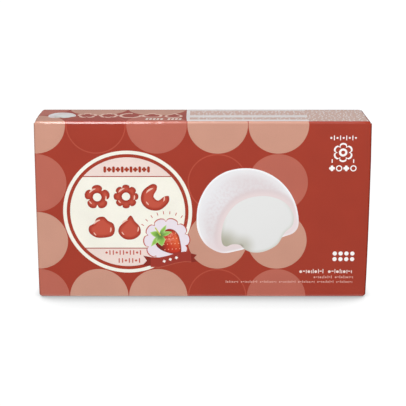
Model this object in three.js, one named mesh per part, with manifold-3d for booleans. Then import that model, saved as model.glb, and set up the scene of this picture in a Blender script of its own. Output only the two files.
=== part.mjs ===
// A shut folding carton for eight small rice cakes. One printed board blank is folded into a long
// flat box that stands on its lower narrow side, and both ends are closed with glued flaps.
//
// Millimetres. +X runs along the length, the front panel faces -Y and +Z is up. The origin is the
// middle of the footprint, on the surface that the carton stands on.

import * as THREE from "three";
import { mergeVertices } from "three/addons/utils/BufferGeometryUtils.js";
import Module from "manifold-3d";

// Driving dimensions
const LENGTH = 151; // end to end, over the outer end flaps
const DEPTH = 26.2; // front panel to back panel
const HEIGHT = 83; // bottom panel to top panel
const CREASE_RADIUS = 1.5; // outside radius of the four long creases
const END_RADIUS = 1.5; // outside radius of the creases round each end
const FLAP_STEP = 1.2; // an outer end flap stands this far out from the other end flaps
const FLAP_REACH = 17; // depth that an outer end flap covers, from the front panel back
const FLAP_CUT = 3; // cut corners of an outer end flap's free edge
const SEAM_STEP = 0.4; // the back panel overlaps the glue tab by one board
const SEAM_HEIGHT = 1.6; // height of the open board edge above the bottom panel

// Mesh fineness
const ARC_STEPS = 4; // straight pieces in a quarter turn
const OVERSHOOT = 1; // how far a cutting prism reaches past the carton

const BOARD = { color: 0xa74635, roughness: 0.45, metalness: 0 };

const wasm = await Module();
wasm.setup();

/** Turns a closed geometry into a manifold-3d solid. */
function solidOf(geometry) {
  const bare = geometry.clone();
  bare.deleteAttribute("normal");
  bare.deleteAttribute("uv");
  const merged = mergeVertices(bare, 1e-3);
  return new wasm.Manifold(
    new wasm.Mesh({
      numProp: 3,
      vertProperties: new Float32Array(merged.attributes.position.array),
      triVerts: new Uint32Array(merged.index.array),
    }),
  );
}

/** Turns a manifold-3d solid back into a geometry. */
function geometryOf(solid) {
  const mesh = solid.getMesh();
  const geometry = new THREE.BufferGeometry();
  geometry.setAttribute("position", new THREE.BufferAttribute(mesh.vertProperties, 3));
  geometry.setIndex(new THREE.BufferAttribute(mesh.triVerts, 1));
  geometry.computeVertexNormals();
  return geometry;
}

/** A rectangle with rounded corners, centred on the origin. */
function roundedRectangle(width, height, radius) {
  const x = width / 2 - radius;
  const y = height / 2 - radius;
  const shape = new THREE.Shape();
  shape.absarc(x, y, radius, 0, Math.PI / 2);
  shape.absarc(-x, y, radius, Math.PI / 2, Math.PI);
  shape.absarc(-x, -y, radius, Math.PI, 1.5 * Math.PI);
  shape.absarc(x, -y, radius, 1.5 * Math.PI, 2 * Math.PI);
  shape.closePath();
  return shape;
}

/** Lays an extrusion along +X, with its shape's x as depth and its y as height, centred on x = 0. */
function alongLength(geometry, length) {
  return geometry
    .translate(0, 0, -length / 2)
    .rotateX(Math.PI / 2)
    .rotateZ(Math.PI / 2);
}

/** The whole folded box at one length: creases along it, and softer creases round its ends. */
function foldedBox(length) {
  const straight = length - 2 * END_RADIUS;
  const rim = END_RADIUS - CREASE_RADIUS / 2;
  const section = roundedRectangle(DEPTH - 2 * rim, HEIGHT - 2 * rim, CREASE_RADIUS);
  const geometry = new THREE.ExtrudeGeometry(section, {
    depth: straight,
    curveSegments: ARC_STEPS,
    bevelEnabled: true,
    bevelSize: rim,
    bevelThickness: END_RADIUS,
    bevelSegments: ARC_STEPS,
  });
  return solidOf(alongLength(geometry, straight).translate(0, 0, HEIGHT / 2));
}

/** A prism over the outer end flaps: from the front panel to a free edge with cut corners. */
function flapPrism() {
  const front = -DEPTH / 2 - OVERSHOOT;
  const free = -DEPTH / 2 + FLAP_REACH;
  const low = -HEIGHT / 2 - OVERSHOOT;
  const high = HEIGHT / 2 + OVERSHOOT;
  const cut = FLAP_CUT + OVERSHOOT;
  const outline = new THREE.Shape();
  outline.moveTo(front, low);
  outline.lineTo(free - cut, low);
  outline.lineTo(free, low + cut);
  outline.lineTo(free, high - cut);
  outline.lineTo(free - cut, high);
  outline.lineTo(front, high);
  outline.closePath();
  const length = LENGTH + 2 * OVERSHOOT;
  const geometry = new THREE.ExtrudeGeometry(outline, { depth: length, bevelEnabled: false });
  return solidOf(alongLength(geometry, length).translate(0, 0, HEIGHT / 2));
}

/** The strip below the back panel's open edge, where the board steps in to the glue tab. */
function seamStrip() {
  const length = LENGTH + 2 * OVERSHOOT;
  const strip = new THREE.BoxGeometry(length, SEAM_STEP + OVERSHOOT, SEAM_HEIGHT + OVERSHOOT);
  const y = DEPTH / 2 - SEAM_STEP + (SEAM_STEP + OVERSHOOT) / 2;
  const z = (SEAM_HEIGHT - OVERSHOOT) / 2;
  return solidOf(strip.translate(0, y, z));
}

/** The shut carton: the box up to its inner end flaps, with the two outer end flaps over them. */
function carton() {
  const inner = foldedBox(LENGTH - 2 * FLAP_STEP);
  const outer = foldedBox(LENGTH).intersect(flapPrism());
  const body = inner.add(outer).subtract(seamStrip());
  const mesh = new THREE.Mesh(geometryOf(body), new THREE.MeshStandardMaterial(BOARD));
  mesh.name = "carton";
  return mesh;
}

const group = new THREE.Group();
group.add(carton());

export default group;
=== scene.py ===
"""A shut folding carton of mini mochi rice cakes.

The carton is made the way a packaging works makes it. A blank is cut flat from one sheet of folding
boxboard, the print is laid on it ink by ink, the sheet gets its thickness, and the blank is creased
and folded round into the box, with its end flaps one over the other.

The flat blank is drawn in millimetres: u runs along the carton's length, and v runs round it, up the
front panel from the bottom front crease, back over the top panel and down the back panel.
"""

import math

import bpy
import numpy as np
from bpy.props import FloatProperty, FloatVectorProperty, PointerProperty
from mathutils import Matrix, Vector


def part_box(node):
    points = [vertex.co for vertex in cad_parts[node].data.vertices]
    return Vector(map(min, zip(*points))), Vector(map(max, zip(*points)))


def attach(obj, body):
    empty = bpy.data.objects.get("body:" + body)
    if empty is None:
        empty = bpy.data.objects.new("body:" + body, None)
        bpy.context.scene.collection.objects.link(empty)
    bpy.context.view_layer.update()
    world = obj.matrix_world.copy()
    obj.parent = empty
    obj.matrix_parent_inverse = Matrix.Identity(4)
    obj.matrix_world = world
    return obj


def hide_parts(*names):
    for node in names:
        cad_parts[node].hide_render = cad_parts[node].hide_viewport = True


bl_info = {
    "name": "Mini Mochi Carton",
    "version": (1, 0, 0),
    "blender": (4, 5, 0),
    "location": "View3D > Sidebar > Carton",
    "description": "Cuts, prints and folds a shut carton of mini mochi rice cakes",
    "category": "Object",
}

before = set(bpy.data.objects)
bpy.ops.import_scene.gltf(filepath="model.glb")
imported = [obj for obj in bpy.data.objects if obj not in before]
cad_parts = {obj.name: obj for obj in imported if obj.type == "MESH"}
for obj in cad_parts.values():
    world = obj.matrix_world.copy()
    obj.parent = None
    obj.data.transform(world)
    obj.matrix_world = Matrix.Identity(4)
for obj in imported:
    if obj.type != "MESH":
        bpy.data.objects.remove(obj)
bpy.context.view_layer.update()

# ---------------------------------------------------------------- sizes, in millimetres

MM = 0.001
LOW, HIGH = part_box("carton")
LENGTH, DEPTH, HEIGHT = (side / MM for side in HIGH - LOW)

DISC_PITCH = 27.17  # from disc to disc of the print
LEFT = LENGTH / 2 - 0.65  # the first column of discs, measured left from the carton's middle
FLAP_STEP = 0.8  # from the outer end flaps in to the inner ones
DUST_STEP = 0.45  # and in to the dust flaps
DUST_DIP = 0.6  # the dust flaps lean in by this much, under the others
DUST_RAMP = 2.0  # over this much of their length
END_LEAN = 1.0  # both ends lean in by this much from front to back
END_PRESS = 0.25  # the left end is pressed in by this much at its top, the right end at its foot
END_RUN = 25.0  # both fade out over this much of the length
SLUMP = 0.6  # the top front crease has settled by this much
RACK = 0.45  # the top panel has moved this much to the left
RACK_RUN = 4.0  # over this much of its depth
DROOP = 0.16  # and turns down by this much before its back crease
DROOP_RUN = 2.2  # over this much of its depth
CORNER = 4.0  # the corners are pressed in, from this far along each of their edges
PRESSED = {  # by this much, at the right (1) or left (-1), and at the top (1) or bottom (-1)
    (1, 1): 0.5,
    (-1, 1): 0.15,
    (1, -1): 0.3,
    (-1, -1): 0.2,
}
SEAM_STEP = 0.45  # the back panel lies one board outside the glue tab
SEAM_HEIGHT = 1.6  # from the bottom up to the back panel's open edge
GLUE_TAB = 10.0
OUTER_FLAP = 17.0
INNER_FLAP = 20.0
DUST_FLAP = 22.0
FLAP_INSET = 1.1  # from a long crease in to the side of an end flap
FLAP_TAPER = 0.5  # the flap narrows by this much on each side
FLAP_CUT = 3.0  # cut corners of a flap's free edge
SLIT_START = 0.3  # the slits between the flaps start this far before the end crease
SLIT = 0.4  # and are this wide there
CREASE_STEPS = 6  # straight pieces in a folded crease
CREASE_EDGE = 0.35  # width of the narrow faces along it, which keep its shading off the panels
PANEL_GRID = 9.0  # the flat panels' mesh, which lets them bow
CREASE_GRID = 2.0  # the top front crease's mesh, which lets it ripple
RIPPLE_END = 4.0  # the ripple stops this far from the carton's ends
SHEET = (300, 600)  # the sheet that the blank is cut from
WALL = 1.0  # height of the upright knives that cut the flat blank
SKIN = 1e-4  # two points nearer than this are one
MAP_SCALE = 0.01  # of the artwork's millimetres in its maps
MAP_MARGIN = 1.0  # left free round the blank in its own map
BACK_SCALE = 0.12  # the board's bare back is this small in that map
BACK_PLACE = (0.885, 0.01)  # in a corner that the blank leaves free

PANELS = ("tab", "bottom", "front", "top", "back")


# ---------------------------------------------------------------- what a user would change


class CartonBoard(bpy.types.PropertyGroup):
    """The sheet that the carton is folded from."""

    thickness: FloatProperty(
        name="Board",
        description="Thickness of the folding boxboard",
        default=0.4 * MM,
        unit="LENGTH",
    )
    crease: FloatProperty(
        name="Crease radius",
        description="Outside radius of the four long creases",
        default=1.0 * MM,
        unit="LENGTH",
    )
    end_crease: FloatProperty(
        name="End crease radius",
        description="Outside radius of the creases round each end",
        default=1.0 * MM,
        unit="LENGTH",
    )
    bow: FloatProperty(
        name="Bow",
        description="How far the middle of a large panel sinks in",
        default=0.3 * MM,
        unit="LENGTH",
    )
    ripple: FloatProperty(
        name="Ripple",
        description="How far the top front crease wanders in and out",
        default=0.05 * MM,
        unit="LENGTH",
    )


def srgb(code):
    """A linear colour from an sRGB hex code such as #A74635."""
    parts = (int(code[i : i + 2], 16) / 255 for i in (1, 3, 5))
    return tuple(p / 12.92 if p <= 0.04045 else ((p + 0.055) / 1.055) ** 2.4 for p in parts)


def ink_property(name, description, code):
    return FloatVectorProperty(
        name=name, description=description, default=srgb(code), subtype="COLOR", min=0, max=1
    )


class CartonPrint(bpy.types.PropertyGroup):
    """The inks that cover the most of the carton."""

    red: ink_property("Brick red", "The ground colour of the carton", "#A0321C")
    light_disc: ink_property("Light disc", "The palest discs", "#C6917D")
    medium_disc: ink_property("Medium disc", "The half-tone discs", "#B66150")
    cream: ink_property("Cream", "The roundel", "#EFECE0")


USER_INKS = ("red", "light_disc", "medium_disc", "cream")
FIELD_INKS = {
    "ring_line": "#B24833",
    "pink": "#E8D3CB",
    "notice": "#E9E3E3",
}
SPOT_INKS = {
    "puffy_edge": "#9A2A18",
    "gleam": "#E7BEAE",
    "title": "#A23318",
    "flavour": "#BF5749",
    "badge": "#E6DCE4",
    "badge_edge": "#B94E41",
    "stalk": "#C6C84A",
    "seed": "#F0BF99",
    "ribbon": "#9A2E20",
    "ribbon_edge": "#B4503C",
    "ribbon_fold": "#84200F",
    "white": "#F6F2F0",
    "fine_white": "#EDD9D2",
    "fine_print": "#DAA497",
    "notice_rows": "#CB9C88",
}
SOFT_INKS = ("rice_cake_skin", "rice_cake_filling", "puffy", "strawberry", "leaf")
INK_ORDER = [*USER_INKS, *FIELD_INKS, *SPOT_INKS, *SOFT_INKS, "bare_board"]


# ---------------------------------------------------------------- outlines


def arc(x, y, radius, start, end, steps):
    """Points on an arc from one angle to another, in degrees."""
    turns = [math.radians(start + (end - start) * i / steps) for i in range(steps + 1)]
    return [(x + radius * math.cos(a), y + radius * math.sin(a)) for a in turns]


def circle(x, y, radius, steps=48):
    return arc(x, y, radius, 0, 360, steps)[:-1]


def turned(points, x, y, angle):
    """Points turned about their origin by an angle in degrees and moved to x, y."""
    c, s = math.cos(math.radians(angle)), math.sin(math.radians(angle))
    return [(x + c * px - s * py, y + s * px + c * py) for px, py in points]


def bar(x, y, length, width, angle=0.0, steps=4):
    """A bar with round ends, centred on x, y."""
    reach = max(length - width, 0) / 2
    ends = arc(reach, 0, width / 2, -90, 90, steps) + arc(-reach, 0, width / 2, 90, 270, steps)
    return turned(ends, x, y, angle)


def block(x, y, length, height):
    """A rectangle, centred on x, y."""
    a, b = length / 2, height / 2
    return [(x - a, y - b), (x + a, y - b), (x + a, y + b), (x - a, y + b)]


def smooth(points, steps=6):
    """A closed Catmull-Rom curve through the points."""
    p = [np.array(q, float) for q in points]
    n = len(p)
    out = []
    for i in range(n):
        a, b, c, d = p[i - 1], p[i], p[(i + 1) % n], p[(i + 2) % n]
        for k in range(steps):
            t = k / steps
            q = (
                2 * b
                + (c - a) * t
                + (2 * a - 5 * b + 4 * c - d) * t * t
                + (3 * b - a - 3 * c + d) * t**3
            ) / 2
            out.append((float(q[0]), float(q[1])))
    return out


def lobes(x, y, radius, bulge, count, start=0.0, steps=8):
    """A scalloped outline: lobes that stand out from a circle by bulge, with a notch at start."""
    out = []
    for i in range(count):
        for k in range(steps):
            share = k / steps
            r = radius + bulge * math.sqrt(max(0.0, 1 - (2 * share - 1) ** 2))
            a = math.radians(start + 360 * (i + share) / count)
            out.append((x + r * math.cos(a), y + r * math.sin(a)))
    return out


def band(x, y, radius, start, end, width, steps=8):
    """A stroke along an arc, in degrees, that narrows to a point at both ends."""
    sides = ([], [])
    for i in range(steps + 1):
        a = math.radians(start + (end - start) * i / steps)
        half = width / 2 * math.sin(math.pi * i / steps) ** 0.6
        for side, r in zip(sides, (radius + half, radius - half)):
            side.append((x + r * math.cos(a), y + r * math.sin(a)))
    outer, inner = sides
    return outer + inner[-2:0:-1]


def leaf(x0, y0, x1, y1, width, steps=6):
    """A leaf from its foot at x0, y0 to its tip at x1, y1."""
    length, angle = math.hypot(x1 - x0, y1 - y0), math.degrees(math.atan2(y1 - y0, x1 - x0))
    shares = [i / (2 * steps) for i in range(2 * steps + 1)]
    side = [(s * length, width / 2 * math.sin(math.pi * s**0.8)) for s in shares]
    return turned(side + [(px, -py) for px, py in side[-2:0:-1]], x0, y0, angle)


def inset(loop, gap):
    """The loop moved inwards by gap, or outwards where gap is negative."""
    a = np.array(loop)
    along = np.roll(a, -1, axis=0) - np.roll(a, 1, axis=0)
    along /= np.linalg.norm(along, axis=1)[:, None]
    area = np.sum(a[:, 0] * np.roll(a[:, 1], -1) - np.roll(a[:, 0], -1) * a[:, 1])
    inward = np.stack([-along[:, 1], along[:, 0]], 1) * np.sign(area)
    return [(float(x), float(y)) for x, y in a + inward * gap]


def distance(where, loops):
    """How far each point is from the nearest of the loops' lines."""
    nearest = np.full(len(where), np.inf)
    for loop in loops:
        a = np.array(loop)
        along = np.roll(a, -1, axis=0) - a
        length = np.maximum((along**2).sum(1), SKIN**2)
        share = np.clip(((where[:, None] - a) * along).sum(2) / length, 0, 1)
        foot = a + share[..., None] * along
        nearest = np.minimum(nearest, np.linalg.norm(where[:, None] - foot, axis=2).min(1))
    return nearest


# ---------------------------------------------------------------- where a design lies on the blank


def on_front(x, y):
    return x - LEFT, y


def on_top(x, y):
    return x - LEFT, HEIGHT + y


def on_fold(x, y):
    """The discs' rows run on over the top front crease, which takes up a little of the board."""
    return x - LEFT, y + 0.6


def on_back(x, y):
    """The back panel runs down the blank, so its design is turned half round to stand upright."""
    return LEFT - x, 2 * HEIGHT + DEPTH - y


BERRY_CROWN = (55.4, 29.6)  # where the strawberry's leaves start
TOP_PICTURE = (11.3, 12.6)  # centre of the small rice cake on the top panel
PICTURE = (95.0, 41.0)  # centre of the large one on the front panel
TOP_SCALE = 0.275


def on_top_small(x, y):
    """The front's rice cake at the size and place that it has on the top panel."""
    return on_top(
        TOP_PICTURE[0] + (x - PICTURE[0]) * TOP_SCALE,
        TOP_PICTURE[1] + (y - PICTURE[1]) * TOP_SCALE,
    )


def shape(ink, place, *loops):
    """One printed shape: its ink and its loops on the blank. A loop inside another is a hole."""
    return ink, [[place(x, y) for x, y in loop] for loop in loops]


# ---------------------------------------------------------------- working on the mesh


def deselect_all():
    for o in bpy.context.selected_objects:
        o.select_set(False)


def work_on(piece):
    """Makes the piece the only selected object, and the active one."""
    deselect_all()
    piece.select_set(True)
    bpy.context.view_layer.objects.active = piece
    return piece


def board():
    return work_on(bpy.data.objects["carton_board"])


def edit(*steps):
    """Runs mesh operators on the active object in edit mode. A step is an operator and its options."""
    bpy.ops.object.mode_set(mode="EDIT")
    for operator, options in steps:
        operator(**options)
    bpy.ops.object.mode_set(mode="OBJECT")


def points(mesh):
    co = np.empty(len(mesh.vertices) * 3)
    mesh.vertices.foreach_get("co", co)
    return co.reshape(-1, 3)


def corner_faces(mesh):
    """For each corner of each face, the face that it belongs to and its vertex."""
    sizes = np.empty(len(mesh.polygons), int)
    mesh.polygons.foreach_get("loop_total", sizes)
    vertices = np.empty(len(mesh.loops), int)
    mesh.loops.foreach_get("vertex_index", vertices)
    return np.repeat(np.arange(len(sizes)), sizes), vertices


def middles(mesh):
    """The middle of each face's corners."""
    faces, vertices = corner_faces(mesh)
    total = np.zeros((len(mesh.polygons), 3))
    np.add.at(total, faces, points(mesh)[vertices])
    return total / np.bincount(faces, minlength=len(total))[:, None]


def spots(mesh):
    """A point inside each face, also where it bends round another: its largest triangle's middle."""
    mesh.calc_loop_triangles()
    count = len(mesh.loop_triangles)
    vertices, owner, area = np.empty(count * 3, int), np.empty(count, int), np.empty(count)
    mesh.loop_triangles.foreach_get("vertices", vertices)
    mesh.loop_triangles.foreach_get("polygon_index", owner)
    mesh.loop_triangles.foreach_get("area", area)
    order = np.argsort(area)
    largest = np.zeros(len(mesh.polygons), int)
    largest[owner[order]] = order
    return points(mesh)[vertices.reshape(-1, 3)[largest]].mean(1)


def select_faces(mesh, chosen):
    """Selects the faces that chosen marks, and nothing else."""
    mesh.vertices.foreach_set("select", np.zeros(len(mesh.vertices), bool))
    mesh.edges.foreach_set("select", np.zeros(len(mesh.edges), bool))
    mesh.polygons.foreach_set("select", chosen)
    mesh.update()


def off_sheet(mesh):
    """True for each face that leaves the flat blank, as the upright knives do."""
    faces, vertices = corner_faces(mesh)
    off = np.abs(points(mesh)[vertices, 2]) > SKIN
    return np.bincount(faces, weights=off, minlength=len(mesh.polygons)) > 0


def inside(where, loops):
    """True for each point that the loops enclose."""
    hit = np.zeros(len(where), bool)
    for loop in loops:
        a = np.array(loop)
        b = np.roll(a, -1, axis=0)
        near = np.flatnonzero(((where >= a.min(0)) & (where <= a.max(0))).all(1))
        x, y = where[near, :1], where[near, 1:]
        spans = (a[:, 1] > y) != (b[:, 1] > y)
        rise = np.where(a[:, 1] == b[:, 1], 1.0, b[:, 1] - a[:, 1])
        left = x < a[:, 0] + (y - a[:, 1]) * (b[:, 0] - a[:, 0]) / rise
        hit[near] ^= (spans & left).sum(1) % 2 == 1
    return hit


def slots_of(mesh):
    slots = np.empty(len(mesh.polygons), int)
    mesh.polygons.foreach_get("material_index", slots)
    return slots


def cut(piece, loops, only=None):
    """Stands a knife on each loop, cuts the flat blank along them and takes the knives away. Where only is
    given, the faces that it doesn't mark are hidden from the knives."""
    if only is not None:
        select_faces(piece.data, ~only)
        work_on(piece)
        edit((bpy.ops.mesh.hide, {}))
    corners = [(x, y, -WALL) for loop in loops for x, y in loop]
    edges, first = [], 0
    for loop in loops:
        n = len(loop)
        edges += [(first + i, first + (i + 1) % n) for i in range(n)]
        first += n
    mesh = bpy.data.meshes.new("knives")
    mesh.from_pydata(corners, edges, [])
    knives = bpy.data.objects.new("knives", mesh)
    bpy.context.scene.collection.objects.link(knives)
    work_on(knives)
    edit(
        (bpy.ops.mesh.select_all, {"action": "SELECT"}),
        (
            bpy.ops.mesh.extrude_edges_move,
            {"TRANSFORM_OT_translate": {"value": (0, 0, 2 * WALL)}},
        ),
    )
    work_on(piece)
    knives.select_set(True)
    bpy.ops.object.join()
    select_faces(piece.data, off_sheet(piece.data))
    edit(
        (
            bpy.ops.mesh.intersect,
            {"mode": "SELECT_UNSELECT", "separate_mode": "NONE", "solver": "EXACT"},
        ),
    )
    select_faces(piece.data, off_sheet(piece.data))
    edit((bpy.ops.mesh.delete, {"type": "FACE"}))
    if only is not None:
        edit((bpy.ops.mesh.reveal, {}))


def lay_ink(shapes):
    """Cuts the shapes into the blank and gives each its ink, a later shape over an earlier one."""
    piece = board()
    cut(piece, [loop for _, loops in shapes for loop in loops])
    mesh = piece.data
    where = spots(mesh)[:, :2]
    slots = slots_of(mesh)
    for ink, loops in shapes:
        slots[inside(where, loops)] = INK_ORDER.index(ink)
    mesh.polygons.foreach_set("material_index", slots)


def score(piece, axis, places, low, high):
    """Divides the faces between low and high along straight lines across the blank, at places in u
    (axis 0) or v (axis 1)."""
    for place in places:
        span = middles(piece.data)[:, 1 - axis]
        select_faces(piece.data, (span > low) & (span < high))
        at, way = Vector(), Vector()
        at[axis], way[axis] = place, 1
        edit((bpy.ops.mesh.bisect, {"plane_co": at, "plane_no": way, "threshold": SKIN}))


# ---------------------------------------------------------------- materials


def material_name(ink):
    """A printed material is named for its board, its finish and its ink."""
    if ink == "bare_board":
        return "uncoated boxboard, die cut"
    return f"varnished boxboard, offset printed, {ink.replace('_', ' ')}"


def per_mm(size):
    """A texture scale whose features are about size millimetres across."""
    return 1 / (size * MM)


def add(tree, kind, inputs=(), **options):
    """Adds a shader node with its own options, and sets or links its inputs."""
    node = tree.nodes.new("ShaderNode" + kind)
    for name, value in options.items():
        setattr(node, name, value)
    for name, value in dict(inputs).items():
        if isinstance(value, bpy.types.NodeSocket):
            tree.links.new(value, node.inputs[name])
        else:
            node.inputs[name].default_value = value
    return node


def varnished_board(ink):
    """Folding boxboard, offset printed and dispersion varnished: a dull ink over faint fibres, under a thin
    clear coat that gleams where the board turns. Returns its shader and its fibres."""
    material = bpy.data.materials.new(material_name(ink))
    material.use_nodes = True
    tree = material.node_tree
    shader = tree.nodes["Principled BSDF"]
    place = add(tree, "TexCoord").outputs["Object"]
    fibres = add(
        tree,
        "TexNoise",
        {"Vector": place, "Scale": per_mm(0.5), "Detail": 3.0, "Roughness": 0.6},
    )
    rough = add(
        tree,
        "MapRange",
        {"Value": fibres.outputs["Fac"], "To Min": 0.38, "To Max": 0.5},
    )
    grain = add(
        tree,
        "Bump",
        {"Height": fibres.outputs["Fac"], "Strength": 0.35, "Distance": 0.01 * MM},
    )
    tree.links.new(rough.outputs["Result"], shader.inputs["Roughness"])
    tree.links.new(grain.outputs["Normal"], shader.inputs["Normal"])
    tree.links.new(grain.outputs["Normal"], shader.inputs["Coat Normal"])
    shader.inputs["Specular IOR Level"].default_value = 0.1
    shader.inputs["Coat Weight"].default_value = 1.0
    shader.inputs["Coat Roughness"].default_value = 0.1
    shader.inputs["Coat IOR"].default_value = 1.5
    return shader, fibres


def printed(ink, colour, mottle=0.05):
    """A large field of ink, which lies a little thicker and thinner, so its colour is faintly mottled."""
    shader, fibres = varnished_board(ink)
    tree = shader.id_data
    place = add(tree, "TexCoord").outputs["Object"]
    waves = add(tree, "TexNoise", {"Vector": place, "Scale": per_mm(11), "Detail": 1.0})
    both = add(
        tree,
        "Math",
        {0: fibres.outputs["Fac"], 1: waves.outputs["Fac"]},
        operation="ADD",
    )
    depth = add(tree, "MapRange", {"Value": both.outputs[0], "From Min": 0.6, "From Max": 1.4})
    thin = [min(1.0, c * (1 + mottle)) for c in colour]
    thick = [c * (1 - mottle) for c in colour]
    tint = add(
        tree,
        "Mix",
        {"Factor": depth.outputs["Result"], "A": (*thin, 1), "B": (*thick, 1)},
        data_type="RGBA",
    )
    tree.links.new(tint.outputs["Result"], shader.inputs["Base Color"])


def printed_soft(ink, base, layers):
    """A picture in fine halftone, which looks as soft as an airbrush's work. Over the base colour lie
    softer ones. Each has its colour and strength, what it is measured from (its outline, the filling or a
    point of the artwork), how many millimetres it runs in full and where it has faded out, and the size
    of the grain that breaks it up."""
    shader, _ = varnished_board(ink)
    tree = shader.id_data
    place = add(tree, "TexCoord").outputs["Object"]
    artwork = add(tree, "UVMap", uv_map="Artwork").outputs["UV"]
    depth = add(tree, "SeparateXYZ", {"Vector": add(tree, "UVMap", uv_map="Depth").outputs["UV"]})
    colour = (*srgb(base), 1)
    for code, strength, source, near, far, grain in layers:
        if source == "outline":
            away = depth.outputs["X"]
        elif source == "filling":
            away = depth.outputs["Y"]
        else:
            point = (source[0] * MAP_SCALE, source[1] * MAP_SCALE, 0)
            away = add(tree, "VectorMath", {0: artwork, 1: point}, operation="DISTANCE").outputs["Value"]
        share = add(
            tree,
            "MapRange",
            {
                "Value": away,
                "From Min": near * MAP_SCALE,
                "From Max": far * MAP_SCALE,
                "To Min": strength,
                "To Max": 0.0,
            },
            interpolation_type="SMOOTHSTEP",
        ).outputs["Result"]
        if grain:
            noise = add(tree, "TexNoise", {"Vector": place, "Scale": per_mm(grain), "Detail": 2.0})
            broken = add(
                tree,
                "MapRange",
                {"Value": noise.outputs["Fac"], "From Min": 0.42, "From Max": 0.62},
            )
            share = add(
                tree, "Math", {0: share, 1: broken.outputs["Result"]}, operation="MULTIPLY"
            ).outputs[0]
        colour = add(
            tree,
            "Mix",
            {"Factor": share, "A": colour, "B": (*srgb(code), 1)},
            data_type="RGBA",
        ).outputs["Result"]
    tree.links.new(colour, shader.inputs["Base Color"])


SOFT_LAYERS = {
    # ink: its base colour, then colour, strength, measured from, full to, gone by, grain
    "rice_cake_skin": (
        "#DDD6D8",
        ("#E4E3E6", 1.0, (76, 50), 3, 20, 0),
        ("#D8C8CA", 0.4, "filling", 5, 16, 1.3),
        ("#E8E8EA", 0.8, "outline", 0.5, 5.5, 0),
        ("#D9C7C8", 0.7, "filling", 2.2, 4.4, 0),
        ("#E3D4D4", 0.85, "filling", 0.4, 2.8, 0),
        ("#F8F8FA", 0.8, "outline", 0.0, 1.3, 0),
        ("#E1D0D2", 0.75, (79, 21.5), 2, 10, 0),
        ("#E6D9DA", 0.8, (117.5, 31.5), 2, 9, 0),
    ),
    "rice_cake_filling": (
        "#E0E0DF",
        ("#C0C1B2", 0.5, "outline", 0.0, 1.5, 0),
        ("#E2E2E1", 1.0, (97, 47), 11, 24, 0),
        ("#A9A692", 0.95, (84.5, 25.0), 1, 10, 0),
        ("#B2AF9F", 0.8, (93.2, 24.6), 0, 7, 0),
        ("#7C7864", 0.75, (92.2, 24.2), 0, 1.9, 0),
    ),
    "puffy": (
        "#BE4B36",
        ("#A8331E", 0.95, "outline", 0.1, 1.2, 0),
        ("#CB604B", 0.5, "outline", 3.0, 0.8, 0),
    ),
    "strawberry": (
        "#C23017",
        ("#E06030", 0.85, (63.6, 27.5), 0.5, 6.0, 0),
        ("#EFA58E", 0.7, (59.6, 28.4), 0, 4.2, 0.8),
        ("#84180C", 0.8, "outline", 0.1, 1.2, 0),
        ("#6E140B", 0.95, (54.6, 23.6), 1.0, 5.5, 0),
    ),
    "leaf": (
        "#8ABB4C",
        ("#C2DF92", 0.7, "outline", 0.0, 0.6, 0),
        ("#4F8130", 0.9, BERRY_CROWN, 0.6, 3.4, 0),
    ),
}


def bare_board():
    """Grey-backed recycled boxboard, die cut: dull, grey-brown and fibrous, inside the carton and along
    its cut edges. Its grey-brown is partly the board's own tone and partly painted shade: it is kept dark
    so that the cut edges and slits look shaded."""
    material = bpy.data.materials.new(material_name("bare_board"))
    material.use_nodes = True
    tree = material.node_tree
    shader = tree.nodes["Principled BSDF"]
    place = add(tree, "TexCoord").outputs["Object"]
    fibres = add(tree, "TexNoise", {"Vector": place, "Scale": per_mm(0.4), "Detail": 4.0})
    # grey-back board's tone, darkened as painted shade for the cut edges and slits
    tint = add(
        tree,
        "Mix",
        {
            "Factor": fibres.outputs["Fac"],
            "A": (*srgb("#76695F"), 1),
            "B": (*srgb("#998C81"), 1),
        },
        data_type="RGBA",
    )
    nap = add(
        tree, "Bump", {"Height": fibres.outputs["Fac"], "Strength": 0.6, "Distance": 0.02 * MM}
    )
    tree.links.new(tint.outputs["Result"], shader.inputs["Base Color"])
    tree.links.new(nap.outputs["Normal"], shader.inputs["Normal"])
    shader.inputs["Roughness"].default_value = 0.9
    shader.inputs["Specular IOR Level"].default_value = 0.25


# ---------------------------------------------------------------- operators


class CARTON_OT_cut_blank(bpy.types.Operator):
    """Cut the blank, with its end flaps and glue tab, from a sheet of board"""

    bl_idname = "carton.cut_blank"
    bl_label = "Cut the Blank"

    def execute(self, context):
        bpy.ops.mesh.primitive_plane_add(size=1, calc_uvs=False)
        piece = context.object
        piece.name = piece.data.name = "carton_board"
        edit((bpy.ops.transform.resize, {"value": (*SHEET, 1)}))
        for ink in INK_ORDER:
            piece.data.materials.append(bpy.data.materials[material_name(ink)])
        outline = die_line(blank_sizes(context.scene.carton_board))
        cut(piece, [outline])
        select_faces(piece.data, ~inside(spots(piece.data)[:, :2], [outline]))
        edit((bpy.ops.mesh.delete, {"type": "FACE"}))
        return {"FINISHED"}


def blank_sizes(settings):
    """For each panel its first and last v, where its end creases lie and how long its end flaps are."""
    half = LENGTH / 2
    dust, inner = half - DUST_STEP, half - FLAP_STEP
    top, back, seam = HEIGHT, HEIGHT + DEPTH, 2 * HEIGHT + DEPTH - SEAM_HEIGHT
    bottom = -(DEPTH - SEAM_STEP)
    return {
        "tab": (bottom - GLUE_TAB, bottom, dust, 0.0),
        "bottom": (bottom, 0.0, dust, DUST_FLAP),
        "front": (0.0, top, half, OUTER_FLAP),
        "top": (top, back, dust, DUST_FLAP),
        "back": (back, seam, inner, INNER_FLAP),
    }


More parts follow.
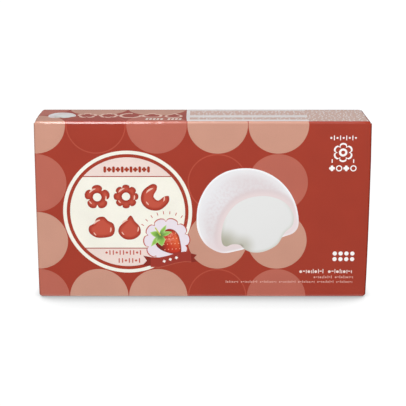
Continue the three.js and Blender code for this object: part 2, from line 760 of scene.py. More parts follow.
def die_line(sizes):
    """The blank's outline: up its right side panel by panel, and down its left side."""
    side = []
    for name in PANELS:
        low, high, crease, flap = sizes[name]
        root = crease - SLIT_START
        if not flap:
            side += [(crease - 3, low), (crease - 1, high - FLAP_INSET)]
            continue
        a, b = low + FLAP_INSET, high - FLAP_INSET
        if name == "back":
            b = high
        tip = crease + flap
        side += [
            (root, low),
            (root, low + SLIT / 2),
            (crease + 1, a),
            (tip - FLAP_CUT, a + FLAP_TAPER),
            (tip, a + FLAP_TAPER + FLAP_CUT),
            (tip, b - FLAP_TAPER - FLAP_CUT),
            (tip - FLAP_CUT, b - FLAP_TAPER),
            (crease + 1, b),
            (root, b if name == "back" else high - SLIT / 2),
            (root, high),
        ]
    side = [q for i, q in enumerate(side) if i == 0 or q != side[i - 1]]
    return side + [(-u, v) for u, v in reversed(side)]


DISC_RADIUS = 0.496 * DISC_PITCH  # neighbours just don't touch
DISC_LINE = 0.5  # width of an outlined disc's line
DISC_ROWS = {
    # row: the discs of its columns, from the left. Row 0 is centred on the bottom front crease.
    -1: ("light", "medium", "line", "light", "medium"),
    0: ("medium", "light", "light", "line", "medium"),
    1: ("light", "", "", "light", "light"),
    2: ("medium", "", "", "line", "medium"),
    3: ("light", "line", "medium", "light", "light"),
    4: ("medium", "light", "light", "line", "medium"),
}


class CARTON_OT_print_discs(bpy.types.Operator):
    """Print the close lattice of light, medium and outlined discs"""

    bl_idname = "carton.print_discs"
    bl_label = "Print the Discs"

    def execute(self, context):
        shapes = []

        def disc(place, x, y, kind):
            loop = circle(x, y, DISC_RADIUS, 72)
            if kind == "line":
                hole = circle(x, y, DISC_RADIUS - DISC_LINE, 72)
                shapes.append(shape("ring_line", place, loop, hole))
            elif kind:
                shapes.append(shape(kind + "_disc", place, loop))

        for row, kinds in DISC_ROWS.items():
            for column, kind in enumerate(kinds):
                disc(on_fold if row > 3 else on_front, column * DISC_PITCH, row * DISC_PITCH, kind)
            disc(on_front, -DISC_PITCH, row * DISC_PITCH, ("medium", "line", "light")[row % 3])
        for row in range(3):
            for column, kind in enumerate(DISC_ROWS[row]):
                disc(on_back, column * DISC_PITCH, row * DISC_PITCH, kind)
        lay_ink(shapes)
        return {"FINISHED"}


ROUNDEL = (40.85, 40.6)
ROUNDEL_RADIUS = 29.2
ROUNDEL_SQUASH = 0.987  # it is this much lower than it is wide
CHORDS = (57.3, 23.5)  # heights of the two thin lines across the roundel


def roundel(radius, start=0, end=360):
    """A circle or an arc about the roundel's centre, squashed as the roundel is."""
    x, y = ROUNDEL
    curve = arc(x, y, radius, start, end, max(8, round(abs(end - start) / 3)))
    if end - start == 360:
        curve.pop()
    return [(px, y + ROUNDEL_SQUASH * (py - y)) for px, py in curve]


def chord_angle(radius, height):
    """The angle at which a circle about the roundel's centre meets a line at this height."""
    return math.degrees(math.asin((height - ROUNDEL[1]) / ROUNDEL_SQUASH / radius))


class CARTON_OT_print_roundel(bpy.types.Operator):
    """Print the cream roundel with its red ring, pink caps and rows of dots"""

    bl_idname = "carton.print_roundel"
    bl_label = "Print the Roundel"

    def execute(self, context):
        outer = ROUNDEL_RADIUS
        ring, field = outer - 1.62, outer - 3.17
        buried = (ring + field) / 2  # the caps and chords run on under the ring
        shapes = []
        for place in (on_front, on_back):
            shapes.append(shape("cream", place, roundel(outer)))
            for height in CHORDS:
                rise = chord_angle(buried, height)
                ends = (rise, 180 - rise) if rise > 0 else (180 - rise, 360 + rise)
                shapes.append(shape("pink", place, roundel(buried, *ends)))
                reach = 2 * buried * math.cos(math.radians(rise))
                shapes.append(shape("title", place, block(ROUNDEL[0], height, reach, 0.42)))
            shapes.append(shape("red", place, roundel(ring), roundel(field)))
            shapes += title_rows(place)
        lay_ink(shapes)
        return {"FINISHED"}


def title_rows(place):
    """Rows of dots and short bars where a carton has its title and its flavour."""
    shapes = []
    for i in range(11):
        x = 30.9 + 1.96 * i
        mark = lobes(x, 60.6, 0.74, 0.4, 4, 45, 5) if i % 2 else bar(x, 60.6, 3.0, 1.25, 90)
        shapes.append(shape("title", place, mark))
    for row, (first, count, y) in enumerate(((30.9, 11, 21.4), (36.6, 7, 17.6))):
        for i in range(count):
            x = first + 1.55 * i
            mark = bar(x, y, 2.3, 0.55, 90) if (i + row) % 3 else circle(x, y, 0.55, 12)
            shapes.append(shape("flavour", place, mark))
    return shapes


def blossom(x, y, size):
    return lobes(x, y, 0.62 * size, 0.4 * size, 5, 54, 10)


def bead_ring(x, y, size):
    return lobes(x, y, 0.8 * size, 0.22 * size, 8, 22.5, 8)


def scaled(x, y, size, points):
    """A smooth outline through points that are given about 0, 0 and for a half size of 1."""
    return smooth([(x + size * a, y + size * b) for a, b in points])


def cloud(x, y, size):
    low = [(0.82, -0.55), (0.3, -0.72), (-0.4, -0.72), (-0.95, -0.35)]
    high = [(-0.98, 0.15), (-0.6, 0.42), (-0.35, 0.85), (0.15, 0.95), (0.5, 0.62), (0.88, 0.4)]
    return scaled(x, y, size, [*low, *high, (1.0, -0.1)])


def crescent(x, y, size):
    outer = [(-0.25, 1.0), (-0.9, 0.45), (-0.98, -0.35), (-0.45, -0.9), (0.35, -0.95), (0.98, -0.4)]
    inner = [(0.7, 0.05), (0.25, -0.25), (-0.1, 0.1), (0.15, 0.65), (0.12, 0.95)]
    return scaled(x, y, size, [*outer, (1.02, 0.1), *inner])


def drop(x, y, size):
    left = [(0.1, 1.05), (-0.3, 0.6), (-0.78, 0.15), (-0.88, -0.4), (-0.4, -0.9)]
    right = [(0.3, -0.92), (0.85, -0.5), (0.82, 0.1), (0.45, 0.55)]
    return scaled(x, y, size, left + right)


MOTIFS = (
    # outline, centre and half size of each puffy motif on the roundel
    (blossom, 27.2, 47.6, 5.7),
    (bead_ring, 40.2, 47.9, 5.5),
    (crescent, 53.2, 47.4, 6.2),
    (cloud, 29.0, 32.8, 5.9),
    (drop, 41.6, 33.0, 5.7),
)
MOTIF_EDGE = 0.5  # width of a motif's dark edge
GLEAMS = ((98, 152, 0.78), (-26, 10, 0.6), (205, 232, 0.5))  # their angles and widths
HOLE = 0.34  # of a motif's half size: the hole in the two ring-like motifs


def puffy_shapes():
    """The puffy motifs inside their dark edges, and the edges of their holes."""
    bodies = [outline(x, y, size - MOTIF_EDGE) for outline, x, y, size in MOTIFS]
    holes = [circle(x, y, HOLE * size + MOTIF_EDGE, 24) for _, x, y, size in MOTIFS[:2]]
    return bodies + holes


class CARTON_OT_print_motifs(bpy.types.Operator):
    """Print five puffy motifs with dark edges and gleams"""

    bl_idname = "carton.print_motifs"
    bl_label = "Print the Motifs"

    def execute(self, context):
        shapes = []
        for place in (on_front, on_back):
            for outline, x, y, size in MOTIFS:
                shapes.append(shape("puffy_edge", place, outline(x, y, size)))
                shapes.append(shape("puffy", place, outline(x, y, size - MOTIF_EDGE)))
                for start, end, width in GLEAMS:
                    shapes.append(shape("gleam", place, band(x, y, 0.7 * size, start, end, width)))
            for _, x, y, size in MOTIFS[:2]:
                shapes.append(shape("puffy_edge", place, circle(x, y, HOLE * size + MOTIF_EDGE, 24)))
                shapes.append(shape("cream", place, circle(x, y, HOLE * size, 24)))
        lay_ink(shapes)
        return {"FINISHED"}


BADGE = (58.45, 27.2)


class CARTON_OT_print_badge(bpy.types.Operator):
    """Print the scalloped badge with its strawberry and ribbon"""

    bl_idname = "carton.print_badge"
    bl_label = "Print the Badge"

    def execute(self, context):
        shapes = []
        for place in (on_front, on_back):
            shapes += badge(place) + strawberry(place) + ribbon(place)
        lay_ink(shapes)
        return {"FINISHED"}


def badge(place):
    x, y = BADGE
    shapes = [
        shape("badge_edge", place, lobes(x, y, 9.1, 1.7, 10, 92)),
        shape("badge", place, lobes(x, y, 8.7, 1.6, 10, 92)),
    ]
    for i in range(9):
        angle = 146 - 12.5 * i
        rx, ry = x + 13.1 * math.cos(math.radians(angle)), y + 13.1 * math.sin(math.radians(angle))
        shapes.append(shape("flavour", place, bar(rx, ry, 1.5, 0.36, angle)))
    return shapes


def berry():
    """The strawberry's outline, lying on its side with its tip to the right."""
    low = [(53.1, 26.9), (53.7, 24.7), (55.7, 22.7), (58.9, 21.3), (62.3, 20.7), (64.7, 21.3)]
    high = [(65.1, 23.3), (64.6, 26.7), (63.7, 29.9), (61.9, 32.0), (59.3, 32.6), (56.5, 31.3)]
    return smooth([*low, *high, (54.2, 29.3)])


def berry_leaves():
    tips = (
        # the tip's place and the leaf's width
        (51.2, 24.2, 2.3),
        (50.9, 30.9, 2.8),
        (56.3, 24.4, 3.9),
        (58.4, 34.6, 2.0),
        (60.9, 31.2, 2.1),
    )
    return [leaf(*BERRY_CROWN, *tip) for tip in tips]


def strawberry(place):
    body = berry()
    shapes = [shape("strawberry", place, body)]
    for row in range(4):
        for i in range(5):
            x = 57.4 + 1.7 * i - 0.15 * row + 0.6 * (row % 2)
            y = 30.2 - 2.5 * row + 0.15 * i
            if inside(np.array([[x, y]]), [inset(body, 0.6)])[0]:
                shapes.append(shape("seed", place, bar(x, y, 0.55, 0.3, 60, 3)))
    shapes.append(shape("ribbon_fold", place, leaf(*BERRY_CROWN, 61.2, 31.6, 2.6)))
    shapes += [shape("leaf", place, outline) for outline in berry_leaves()]
    shapes.append(shape("stalk", place, bar(54.4, 31.4, 4.6, 0.6, 124)))
    return shapes


def ribbon(place):
    """A ribbon in a shallow wave, with its tails folded behind it and notched."""
    tails = (
        [(47.6, 19.9), (52.6, 18.9), (52.6, 14.9), (47.2, 15.2), (49.3, 17.5)],
        [(67.4, 21.6), (72.2, 20.3), (70.7, 18.7), (72.4, 17.0), (67.6, 16.6)],
    )
    top = [(51.0, 19.2), (55.0, 19.0), (59.0, 19.9), (63.0, 21.3), (66.6, 21.9), (69.4, 21.5)]
    bottom = [(69.6, 16.7), (66.6, 16.9), (62.6, 16.2), (58.6, 15.0), (54.8, 14.1), (51.0, 14.4)]
    body = [*top, *bottom]
    shapes = [shape("ribbon_fold", place, tail) for tail in tails]
    shapes.append(shape("ribbon_edge", place, body))
    shapes.append(shape("ribbon", place, [(x, y + 0.32) if y < 17 else (x, y) for x, y in body]))
    for x, y in ((57.2, 17.2), (60.0, 18.1), (62.8, 18.9)):
        shapes.append(shape("white", place, lobes(x, y, 0.42, 0.3, 4, 60, 4)))
    return shapes


def cake_skin():
    """The outline of the rice cake's soft white skin."""
    dome = [(72.1, 38.0), (73.4, 46.0), (78.0, 54.2), (85.0, 59.4), (94.3, 61.2), (103.2, 59.3)]
    right = [(111.0, 53.9), (116.4, 45.6), (118.4, 36.0), (116.4, 31.0), (110.4, 28.4)]
    foot = [(104.5, 24.6), (96.0, 23.6), (91.0, 22.3), (83.6, 21.2), (76.6, 24.8), (72.8, 31.2)]
    return smooth(dome + right + foot)


def cake_filling():
    """The outline of its filling, which bulges out of the opened skin."""
    dome = [(83.6, 26.2), (83.5, 31.5), (85.4, 38.2), (89.6, 43.8), (96.0, 47.3), (104.0, 48.1)]
    right = [(111.4, 45.5), (115.7, 40.2), (115.7, 34.6), (112.4, 31.2), (110.8, 28.4)]
    foot = [(108.4, 24.8), (103.2, 22.0), (98.2, 21.4), (94.4, 22.7), (91.8, 25.0), (88.4, 25.3)]
    return smooth([*dome, *right, *foot, (85.4, 24.3)])


class CARTON_OT_print_rice_cake(bpy.types.Operator):
    """Print the picture of an opened rice cake on the front, back and top panels"""

    bl_idname = "carton.print_rice_cake"
    bl_label = "Print the Rice Cake"

    def execute(self, context):
        shapes = []
        for place in (on_front, on_back, on_top_small):
            shapes.append(shape("rice_cake_skin", place, cake_skin()))
            shapes.append(shape("rice_cake_filling", place, cake_filling()))
        lay_ink(shapes)
        return {"FINISHED"}


def pictures():
    """The outlines of the soft inks' shapes, on the front panel."""
    return {
        "rice_cake_skin": [cake_skin()],
        "rice_cake_filling": [cake_filling()],
        "puffy": puffy_shapes(),
        "strawberry": [berry()],
        "leaf": berry_leaves(),
    }


CONTOURS = {
    # how far in from its outline each soft ink changes its shade
    "rice_cake_skin": (0.5, 1.2, 2.2, 3.6, 5.5, 8.0),
    "rice_cake_filling": (0.4, 0.9, 1.6, 2.6, 4.0, 6.0),
    "puffy": (0.35, 0.8, 1.5),
    "strawberry": (0.5, 1.1, 2.0, 3.2),
    "leaf": (0.4, 0.8),
}
LIP_CONTOURS = (-0.7, -1.4, -2.2, -2.8, -3.4, -4.6, -6.5, -9.0)  # and the skin, out from the filling


class CARTON_OT_lay_contours(bpy.types.Operator):
    """Lay lines inside the outlines of the soft shapes, so that their shade can follow the outline"""

    bl_idname = "carton.lay_contours"
    bl_label = "Lay the Contours"

    def execute(self, context):
        piece = board()
        edit(
            (bpy.ops.mesh.select_all, {"action": "SELECT"}),
            (bpy.ops.mesh.remove_doubles, {"threshold": SKIN}),
            (
                bpy.ops.mesh.dissolve_limited,
                {"angle_limit": math.radians(0.5), "delimit": {"MATERIAL"}},
            ),
        )
        loops = []
        for ink, outlines in pictures().items():
            lines = [inset(loop, gap) for loop in outlines for gap in CONTOURS[ink]]
            if ink == "rice_cake_skin":
                lines += [inset(cake_filling(), gap) for gap in LIP_CONTOURS]
            for place in (on_front, on_back, *([on_top_small] if "cake" in ink else [])):
                loops += [[place(x, y) for x, y in line] for line in lines]
        soft = np.isin(slots_of(piece.data), [INK_ORDER.index(ink) for ink in SOFT_INKS])
        cut(piece, loops, soft)
        return {"FINISHED"}


class CARTON_OT_print_marks(bpy.types.Operator):
    """Print the small white emblem, the eight dots and the rows of fine marks"""

    bl_idname = "carton.print_marks"
    bl_label = "Print the Marks"

    def execute(self, context):
        shapes = []
        for place in (on_front, on_back):
            shapes += emblem(place)
            for i in range(8):
                dot = circle(135.2 + 2.7 * (i % 4), 21.0 - 2.7 * (i // 4), 1.0, 14)
                shapes.append(shape("white", place, dot))
            shapes += fine_row("fine_white", place, 119.8, 145.2, 12.5, 2.0, 0.36)
            shapes += fine_row("fine_print", place, 126.2, 145.2, 9.7, 1.3, 0.32)
            shapes += fine_row("fine_print", place, 85.2, 144.8, 7.4, 1.1, 0.3)
        lay_ink(shapes)
        return {"FINISHED"}


EMBLEM = (137.6, 68.6)


def emblem(place):
    """A six-lobed outline with a ring in it, a row of dots and bars above and four marks below."""
    x, y = EMBLEM
    above, below = y + 6.8, y - 7.4
    loops = [
        (lobes(x, y, 3.2, 1.3, 6), lobes(x, y, 2.5, 1.2, 6)),
        (circle(x, y, 1.9, 20), circle(x, y, 0.9, 14)),
    ]
    for i in range(9):
        across = x + 1.37 * (i - 4)
        mark = bar(across, above, 2.3, 0.4, 90) if i % 2 else circle(across, above, 0.45, 10)
        loops.append((mark,))
    for i in range(4):
        across = x + 3.2 * (i - 1.5)
        if i % 2:
            loops.append((circle(across, below, 1.45, 14), circle(across, below, 0.95, 14)))
        else:
            loops.append((lobes(across, below, 0.85, 0.5, 4, 45, 5),))
        if i in (0, 3):
            loops.append((bar(across, below + 3.4, 1.8, 0.45, 90),))
    return [shape("white", place, *mark) for mark in loops]


def fine_row(ink, place, start, end, y, height, stroke):
    """A row of small strokes, flush right and in groups, too regular to read."""
    shapes, x, i = [], end, 0
    while x > start + stroke:
        kind = i * i % 11
        if kind in (0, 10):
            x -= 0.9 * height
            i += 1
        if kind in (1, 5):
            ring = circle(x - height / 3, y - height / 8, height / 3, 8)
            shapes.append(shape(ink, place, ring))
            x -= height * 2 / 3 + 0.9 * stroke
        elif kind == 4:
            shapes.append(shape(ink, place, block(x - height / 4, y, height / 2, 1.2 * stroke)))
            x -= height / 2 + 0.9 * stroke
        else:
            tall = height * (1, 0.7, 1, 0.8)[i % 4]
            shapes.append(shape(ink, place, block(x - stroke / 2, y - (height - tall) / 2, stroke, tall)))
            x -= 2.1 * stroke
        i += 1
    return shapes


class CARTON_OT_print_top(bpy.types.Operator):
    """Print the top panel's row of outlined motifs and its pale field of notices"""

    bl_idname = "carton.print_top"
    bl_label = "Print the Top"

    def execute(self, context):
        board_settings = context.scene.carton_board
        crease = board_settings.crease / MM
        shapes = []
        for i, (outline, _, _, size) in enumerate(MOTIFS):
            x, y, half = 22.9 + 9.8 * i, 12.3, 4.8 * size / 6
            shapes.append(shape("gleam", on_top, outline(x, y, half)))
            shapes.append(shape("red", on_top, outline(x, y, half - 1.3)))
        for i in (0, 1, 2, 3, 4, 6, 7, 8, 9):
            shapes.append(shape("cream", on_top, bar(50.3 + 1.65 * i, 5.2, 2.8, 1.15, 80)))
        start, end = 2.5 * DISC_PITCH, LEFT + LENGTH / 2 - DUST_STEP - crease
        near, far = 1.0, DEPTH - crease
        middle = ((start + end) / 2, (near + far) / 2)
        shapes.append(shape("notice", on_top, block(*middle, end - start, far - near)))
        for row in range(15):
            y = 1.9 + 1.5 * row
            open_row = y < 4 or 9 < y < 12.5 or y > 21.5
            shapes += word_row(122.5 if open_row else 69.5, end, y, 1.1, row)
        lay_ink(shapes)
        return {"FINISHED"}


def word_row(start, end, y, height, row):
    """A row of plain bars, as long as words are."""
    shapes, x, i = [], start, row
    while x < end - 1:
        length = min(1.0 + 0.5 * ((i * i + row) % 7), end - x)
        shapes.append(shape("notice_rows", on_top, block(x + length / 2, y, length, height)))
        x += length + 0.42
        i += 1
    return shapes


class CARTON_OT_fold(bpy.types.Operator):
    """Give the blank its thickness, crease it and fold it into the shut carton"""

    bl_idname = "carton.fold"
    bl_label = "Fold the Carton"

    def execute(self, context):
        settings = context.scene.carton_board
        piece = board()
        thicken(piece, settings)
        score_creases(piece, settings)
        lay_out_maps(piece, settings)
        mesh = piece.data
        mesh.vertices.foreach_set("co", folded(points(mesh), settings).ravel() * MM)
        mesh.update()
        work_on(piece)
        bpy.ops.object.shade_smooth_by_angle(angle=math.radians(40))
        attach(piece, "root")
        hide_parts("carton")
        return {"FINISHED"}


def bare_side(mesh, settings):
    """True for each face on the unprinted side of the flat blank."""
    return middles(mesh)[:, 2] < -0.9 * settings.thickness / MM


def thicken(piece, settings):
    """Gives the sheet its board thickness and clears the print's lines from the back."""
    sheet = piece.modifiers.new("Board", "SOLIDIFY")
    sheet.thickness = settings.thickness / MM
    sheet.offset = -1
    sheet.material_offset = sheet.material_offset_rim = len(INK_ORDER)
    work_on(piece)
    bpy.ops.object.modifier_apply(modifier="Board")
    select_faces(piece.data, bare_side(piece.data, settings))
    edit((bpy.ops.mesh.dissolve_limited, {"angle_limit": math.radians(0.5)}))


def score_creases(piece, settings):
    """Lays the mesh lines that the creases fold on, and a coarse grid that lets the panels bow."""
    crease = settings.crease / MM
    sizes = blank_sizes(settings)
    low, high = sizes["tab"][0], sizes["back"][1]
    half = LENGTH / 2

    def round_crease(at, radius):
        turn = [at + radius * (2 * i / CREASE_STEPS - 1) for i in range(CREASE_STEPS + 1)]
        return [turn[0] - CREASE_EDGE, *turn, turn[-1] + CREASE_EDGE]

    for name in PANELS[1:]:
        score(piece, 1, round_crease(sizes[name][0], crease), -SHEET[0], SHEET[0])
    for first, last, _, _ in sizes.values():
        count = round((last - first) / PANEL_GRID)
        score(piece, 1, [first + (last - first) * i / count for i in range(1, count)], -half, half)
    count = round(LENGTH / PANEL_GRID)
    grid = [LENGTH * (i / count - 0.5) for i in range(1, count)]
    score(piece, 0, grid, low, high)
    for name in PANELS[1:]:
        first, last, at, _ = sizes[name]
        ends = round_crease(at, settings.end_crease / MM)
        score(piece, 0, ends, first, last)
        score(piece, 0, [-u for u in ends], first, last)
    turn_down = [HEIGHT + DEPTH - crease - DROOP_RUN * i / 4 for i in range(1, 5)]
    score(piece, 1, turn_down, -half, half)
    count = round(LENGTH / CREASE_GRID)
    fine = [LENGTH * (i / count - 0.5) for i in range(1, count)]
    reach = crease + CREASE_EDGE
    score(piece, 0, fine, HEIGHT - reach, HEIGHT + reach)


def lay_out_maps(piece, settings):
    """Gives the piece its maps: the flat blank, which unrolls it; the artwork, in which each panel's design
    is upright and at the front panel's scale; and how deep inside its outline each soft shape is."""
    mesh = piece.data
    sizes = blank_sizes(settings)
    low, high = sizes["tab"][0], sizes["back"][1]
    span = high - low + 2 * MAP_MARGIN
    faces, vertices = corner_faces(mesh)
    corner = points(mesh)[vertices]
    back = bare_side(mesh, settings)[faces]
    start = np.array([-(LENGTH / 2 - DUST_STEP + DUST_FLAP), low]) - MAP_MARGIN
    flat = (corner[:, :2] - start) / span
    flat[back] = flat[back] * BACK_SCALE + BACK_PLACE
    x, y, v = corner[:, 0] + LEFT, corner[:, 1].copy(), corner[:, 1]
    rear = v > HEIGHT + DEPTH
    x[rear], y[rear] = LEFT - corner[rear, 0], 2 * HEIGHT + DEPTH - v[rear]
    top = (v > HEIGHT) & ~rear
    x[top] = (x[top] - TOP_PICTURE[0]) / TOP_SCALE + PICTURE[0]
    y[top] = (v[top] - HEIGHT - TOP_PICTURE[1]) / TOP_SCALE + PICTURE[1]
    artwork = np.stack([x, y], 1)
    depth = np.zeros((len(corner), 2))
    slots = slots_of(mesh)[faces]
    for ink, outlines in pictures().items():
        here = slots == INK_ORDER.index(ink)
        depth[here, 0] = distance(artwork[here], outlines)
        if ink == "rice_cake_skin":
            depth[here, 1] = distance(artwork[here], [cake_filling()])
    maps = (("OFBake", flat), ("Artwork", artwork * MAP_SCALE), ("Depth", depth * MAP_SCALE))
    for name, uv in maps:
        layer = mesh.uv_layers.new(name=name)
        layer.data.foreach_set("uv", uv.astype(np.float32).ravel())
    mesh.uv_layers.active = mesh.uv_layers["OFBake"]


def folded(flat, settings):
    """Where each point of the flat blank lies once the carton is folded, in millimetres."""
    u, v, w = flat.T
    crease = settings.crease / MM
    sizes = blank_sizes(settings)
    x, out, past = fold_ends(u, v, w, settings, sizes)
    # The panels bow inwards a little between their creases.
    for name in PANELS[1:]:
        low, high, place, _ = sizes[name]
        share = np.clip((v - low) / (high - low), 0, 1)
        along = np.clip(u / place, -1, 1)
        sink = settings.bow / MM * min(1.0, (high - low) / HEIGHT)
        bow = sink * np.sin(math.pi * share) ** 2 * np.cos(math.pi / 2 * along) ** 2
        out -= bow * (past < 0)
    # The top front crease ripples where the board has been worked.
    near = np.exp(-(((v - HEIGHT) / crease) ** 2)) * (np.abs(u) < LENGTH / 2 - RIPPLE_END)
    wander = np.sin(1.31 * u) + np.sin(0.73 * u + 1.9) + 0.8 * np.sin(2.17 * u + 0.6)
    out += settings.ripple / MM * near * (wander / 2.8 - 1)
    y, z = fold_round(v, out, crease, sizes)
    return settled(np.stack([x, y, z], 1), crease)


def fold_ends(u, v, w, settings, sizes):
    """Folds the end flaps round the end creases. Returns how far along the length and how far out from its
    panel each point lies, and how far past the start of the end crease it was on the flat blank."""
    crease = settings.crease / MM
    end = settings.end_crease / MM
    # From panel to panel the end creases' places differ by a board or so, which the corners take up.
    knots, places = [], []
    for low, high, place, _ in sizes.values():
        knots += [low + crease, high - crease]
        places += [place, place]
    at = np.interp(v, knots, places)
    past = np.abs(u) - (at - end)
    turn = np.clip(past / (2 * end), 0, 1) * math.pi / 2
    flap = np.clip(past - 2 * end, 0, None)
    dust = ((v > sizes["bottom"][0]) & (v <= 0)) | ((v > HEIGHT) & (v <= HEIGHT + DEPTH))
    dip = DUST_DIP * np.clip(flap / DUST_RAMP, 0, 1) * dust
    x = np.where(past > 0, at - end + (end + w) * np.sin(turn) - dip, np.abs(u)) * np.sign(u)
    out = np.where(past > 0, -end + (end + w) * np.cos(turn) - flap, w)
    return x, out, past


def fold_round(v, out, crease, sizes):
    """Folds the panels round the four long creases, from the glue tab to the back panel. Returns each
    point's depth and height."""
    y, z = np.zeros(len(v)), np.zeros(len(v))
    corner = np.array([DEPTH / 2 - SEAM_STEP, GLUE_TAB])
    ahead, outward = np.array([0.0, -1.0]), np.array([1.0, 0.0])
    for i, name in enumerate(PANELS):
        low, high, _, _ = sizes[name]
        first = low if i == 0 else low + crease
        last = high if name == "back" else high - crease
        here = (v >= first - SKIN) & (v <= last + SKIN)
        y[here], z[here] = (
            corner[:, None] + ahead[:, None] * (v[here] - low) + outward[:, None] * out[here]
        )
        bend = (v > last) & (v < high + crease)
        turn = (v[bend] - last) / (2 * crease) * math.pi / 2
        radius = crease + out[bend]
        along = (high - low) - crease + radius * np.sin(turn)
        off = -crease + radius * np.cos(turn)
        if name != "back":
            y[bend], z[bend] = corner[:, None] + ahead[:, None] * along + outward[:, None] * off
        corner = corner + ahead * (high - low)
        ahead, outward = -outward, ahead
    return y, z


def settled(place, crease):
    """What handling has done to the shut carton: its ends lean in, its corners are pressed in, and its top
    has settled, moved over and turned down at the back."""
    x, y, z = place.T
    skew = np.clip((1 - 2 * z / HEIGHT) * np.sign(x) + 0.2, 0, None)
    lean = END_LEAN * np.clip(y / DEPTH + 0.5, 0, 1) ** 2 + END_PRESS * skew**2
    lean *= np.clip(1 - (LENGTH / 2 - np.abs(x)) / END_RUN, 0, 1)
    place = press_corners(np.stack([x - lean * np.sign(x), y, z], 1))
    high = np.clip(2 * z / HEIGHT - 1, 0, 1)
    place[:, 2] -= SLUMP * high**2 * np.clip(0.5 - y / DEPTH, 0, 1)
    place[:, 0] -= RACK * high**2 * np.clip((y + DEPTH / 2) / RACK_RUN, 0, 1)
    last = DEPTH / 2 - crease - DROOP_RUN
    place[:, 2] -= DROOP * high**2 * np.clip((y - last) / DROOP_RUN, 0, 1) ** 2
    return place


def press_corners(place):
    """Presses the box's eight corners in a little, as handling does."""
    half = np.array([LENGTH, DEPTH, HEIGHT]) / 2
    middle = np.array([0, 0, HEIGHT / 2])
    q = place - middle
    over = np.clip(1 - (half - np.abs(q)) / CORNER, 0, 1)
    share = over.prod(axis=1) ** 2
    for (right, top), press in PRESSED.items():
        here = (np.sign(q[:, 0]) == right) & (np.sign(q[:, 2]) == top)
        q[here] -= np.sign(q[here]) * (press * share[here])[:, None]
    return middle + q


# ---------------------------------------------------------------- stage


CAMERA_PLACE = (0.00093, -0.55234, 0.19381)  # in metres
CAMERA_FALL = 15.436  # it looks down by this many degrees
CAMERA_TURN = 0.086  # and to the left by this many
CAMERA_LENS = 109.78  # its focal length
CAMERA_SENSOR = 36.0  # for pictures this wide, both in millimetres


class CARTON_OT_set_stage(bpy.types.Operator):
    """Set the pale floor, the soft studio light and the camera"""

    bl_idname = "carton.set_stage"
    bl_label = "Set the Stage"

    def execute(self, context):
        bpy.ops.mesh.primitive_circle_add(vertices=96, radius=6, fill_type="NGON", location=(0, 0, 0))
        floor = context.object
        floor.name = "floor"
        # the floor glows white by itself, and its contact shade is painted into that glow
        floor.data.materials.append(glowing_table_with_painted_shade())

        floor.visible_glossy = floor.visible_diffuse = False  # the world's cards stand in for it
        context.scene.world = studio()
        context.scene.view_settings.view_transform = "Standard"

        softbox("overhead", (-0.22, 0.12, 1.0), (0, 0, 0.05), (1.0, 0.7), 2.4)
        for side in (-1, 1):
            fill = softbox(f"fill_{side}", (0.5 * side, 0.84, 0.17), (0, 0, 0.04), (0.6, 0.3), 3.6)
            fill.visible_glossy = False  # or it would gleam all along the back creases
        softbox("fold_light", (0.09, -0.69, 0.66), (0.01, 0, 0.08), (0.3, 0.6), 1.0)
        # A strip light, bent over the carton from in front of it to above it, in three straight lengths.
        reach, fold = 0.9, 0.08
        for i in range(3):
            rise = math.radians(15 + 30 * i)
            place = (-0.122, -reach * math.cos(rise), fold + reach * math.sin(rise))
            softbox(f"strip_{i}", place, (-0.012, 0, fold), (0.125, 0.482), 2.82)

        lens = bpy.data.cameras.new("camera")
        lens.sensor_width, lens.lens = CAMERA_SENSOR, CAMERA_LENS
        camera = bpy.data.objects.new("camera", lens)
        camera.location = CAMERA_PLACE
        camera.rotation_euler = (math.radians(90 - CAMERA_FALL), 0, math.radians(CAMERA_TURN))
        context.scene.collection.objects.link(camera)
        context.scene.camera = camera
        return {"FINISHED"}


# Each card of the studio: where it stands as seen from the carton, how many degrees from its middle it
# starts to fade and has gone, and how brightly it is lit
CARDS = (
    ((0, 0.96, 0.28), 9, 22, 0.13),
    ((-0.15, -0.75, -0.66), 35, 75, 0.17),
    ((0, -0.72, -0.7), 12, 27, 0.75),
    ((0.1, -0.75, 0.6), 30, 70, 0.2),
    ((0, -0.3, -0.95), 20, 45, 1.2),
)


def studio():
    """A dim studio with soft white cards: behind the carton, low and high in front of it, at its foot."""
    world = bpy.data.worlds.new("soft studio")
    world.use_nodes = True
    tree = world.node_tree
    way = add(tree, "TexCoord").outputs["Generated"]
    glow = 0.1
    for toward, full, gone, level in CARDS:
        toward = Vector(toward).normalized()
        near = add(tree, "VectorMath", {0: way, 1: toward}, operation="DOT_PRODUCT")
        card = add(
            tree,
            "MapRange",
            {
                "Value": near.outputs["Value"],
                "From Min": math.cos(math.radians(gone)),
                "From Max": math.cos(math.radians(full)),
                "To Max": level,
            },
            interpolation_type="SMOOTHSTEP",
        )
        glow = add(tree, "Math", {0: glow, 1: card.outputs["Result"]}, operation="ADD").outputs[0]
    tree.links.new(glow, tree.nodes["Background"].inputs["Strength"])
    tree.nodes["Background"].inputs["Color"].default_value = (1, 1, 1, 1)
    return world


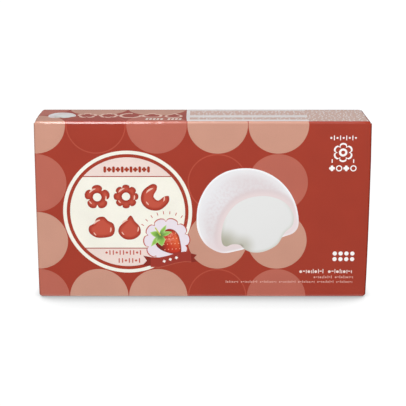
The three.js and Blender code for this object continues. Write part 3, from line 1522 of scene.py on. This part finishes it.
def glowing_table_with_painted_shade():
    """A white acrylic product table that glows by its own emission, as if lit from below: it stays white,
    with a thin dark line round the foot of what stands on it and a soft shade in front, both painted into
    the glow from ambient occlusion as if light came from behind."""
    material = bpy.data.materials.new("acrylic table, opal and lit")
    material.use_nodes = True
    tree = material.node_tree
    tree.nodes.remove(tree.nodes["Principled BSDF"])
    behind = add(tree, "CombineXYZ", {"Y": 0.82, "Z": 0.57}).outputs["Vector"]
    level = 1.06
    # each painted shade: how far it reaches, where it looks from, its open and shut shares of the sky,
    # fall-off, strength
    for reach, way, clear, shut, fall, strength in (
        (6, None, 1.0, 0.5, 1.8, 0.2),
        (12, behind, 0.75, 0.31, 1.3, 0.26),
        (32, behind, 0.75, 0.31, 1.5, 0.24),
    ):
        # ambient occlusion darkens the glow here: a painted shadow, not one cast by a lamp
        sky = add(tree, "AmbientOcclusion", {"Distance": reach * MM})
        if way:
            tree.links.new(way, sky.inputs["Normal"])
        cover = add(
            tree,
            "MapRange",
            {"Value": sky.outputs["AO"], "From Min": clear, "From Max": shut},
        )
        soft = add(tree, "Math", {0: cover.outputs["Result"], 1: fall}, operation="POWER")
        kept = add(tree, "MapRange", {"Value": soft.outputs[0], "To Min": 1.0, "To Max": 1 - strength})
        level = add(tree, "Math", {0: kept.outputs["Result"], 1: level}, operation="MULTIPLY").outputs[0]
    glow = add(tree, "Emission", {"Strength": level})
    tree.links.new(glow.outputs["Emission"], tree.nodes["Material Output"].inputs["Surface"])
    return material


def softbox(name, place, target, size, power):
    """Adds a rectangular studio light at one place, facing a target."""
    light = bpy.data.lights.new(name, "AREA")
    light.shape, light.energy = "RECTANGLE", power
    light.size, light.size_y = size
    lamp = bpy.data.objects.new(name, light)
    lamp.location = place
    lamp.rotation_euler = (Vector(target) - Vector(place)).to_track_quat("-Z", "Y").to_euler()
    bpy.context.scene.collection.objects.link(lamp)
    return lamp


class CARTON_OT_mix_inks(bpy.types.Operator):
    """Mix the inks and the bare board that the carton is printed and cut from"""

    bl_idname = "carton.mix_inks"
    bl_label = "Mix the Inks"

    def execute(self, context):
        settings = context.scene.carton_print
        for ink in USER_INKS:
            printed(ink, tuple(getattr(settings, ink)))
        for ink, code in FIELD_INKS.items():
            printed(ink, srgb(code))
        for ink, code in SPOT_INKS.items():
            shader, _ = varnished_board(ink)
            shader.inputs["Base Color"].default_value = (*srgb(code), 1)
        for ink, (base, *layers) in SOFT_LAYERS.items():
            printed_soft(ink, base, layers)
        bare_board()
        return {"FINISHED"}


class CARTON_PT_panel(bpy.types.Panel):
    """Lists the steps that make the carton."""

    bl_label = "Mini Mochi Carton"
    bl_idname = "CARTON_PT_panel"
    bl_space_type = "VIEW_3D"
    bl_region_type = "UI"
    bl_category = "Carton"

    def draw(self, context):
        for name in CartonBoard.__annotations__:
            self.layout.prop(context.scene.carton_board, name)
        for name in CartonPrint.__annotations__:
            self.layout.prop(context.scene.carton_print, name)
        for step in STEPS:
            self.layout.operator(step.bl_idname)


STEPS = (
    CARTON_OT_set_stage,
    CARTON_OT_mix_inks,
    CARTON_OT_cut_blank,
    CARTON_OT_print_discs,
    CARTON_OT_print_roundel,
    CARTON_OT_print_motifs,
    CARTON_OT_print_badge,
    CARTON_OT_print_rice_cake,
    CARTON_OT_print_marks,
    CARTON_OT_print_top,
    CARTON_OT_lay_contours,
    CARTON_OT_fold,
)
CLASSES = (CartonBoard, CartonPrint, *STEPS, CARTON_PT_panel)


def register():
    for item in CLASSES:
        bpy.utils.register_class(item)
    bpy.types.Scene.carton_board = PointerProperty(type=CartonBoard)
    bpy.types.Scene.carton_print = PointerProperty(type=CartonPrint)


def unregister():
    del bpy.types.Scene.carton_print
    del bpy.types.Scene.carton_board
    for item in reversed(CLASSES):
        bpy.utils.unregister_class(item)


def main():
    register()
    bpy.context.tool_settings.mesh_select_mode = (False, False, True)
    for step in STEPS:
        deselect_all()
        group, name = step.bl_idname.split(".")
        getattr(getattr(bpy.ops, group), name)()


if __name__ == "__main__":
    main()
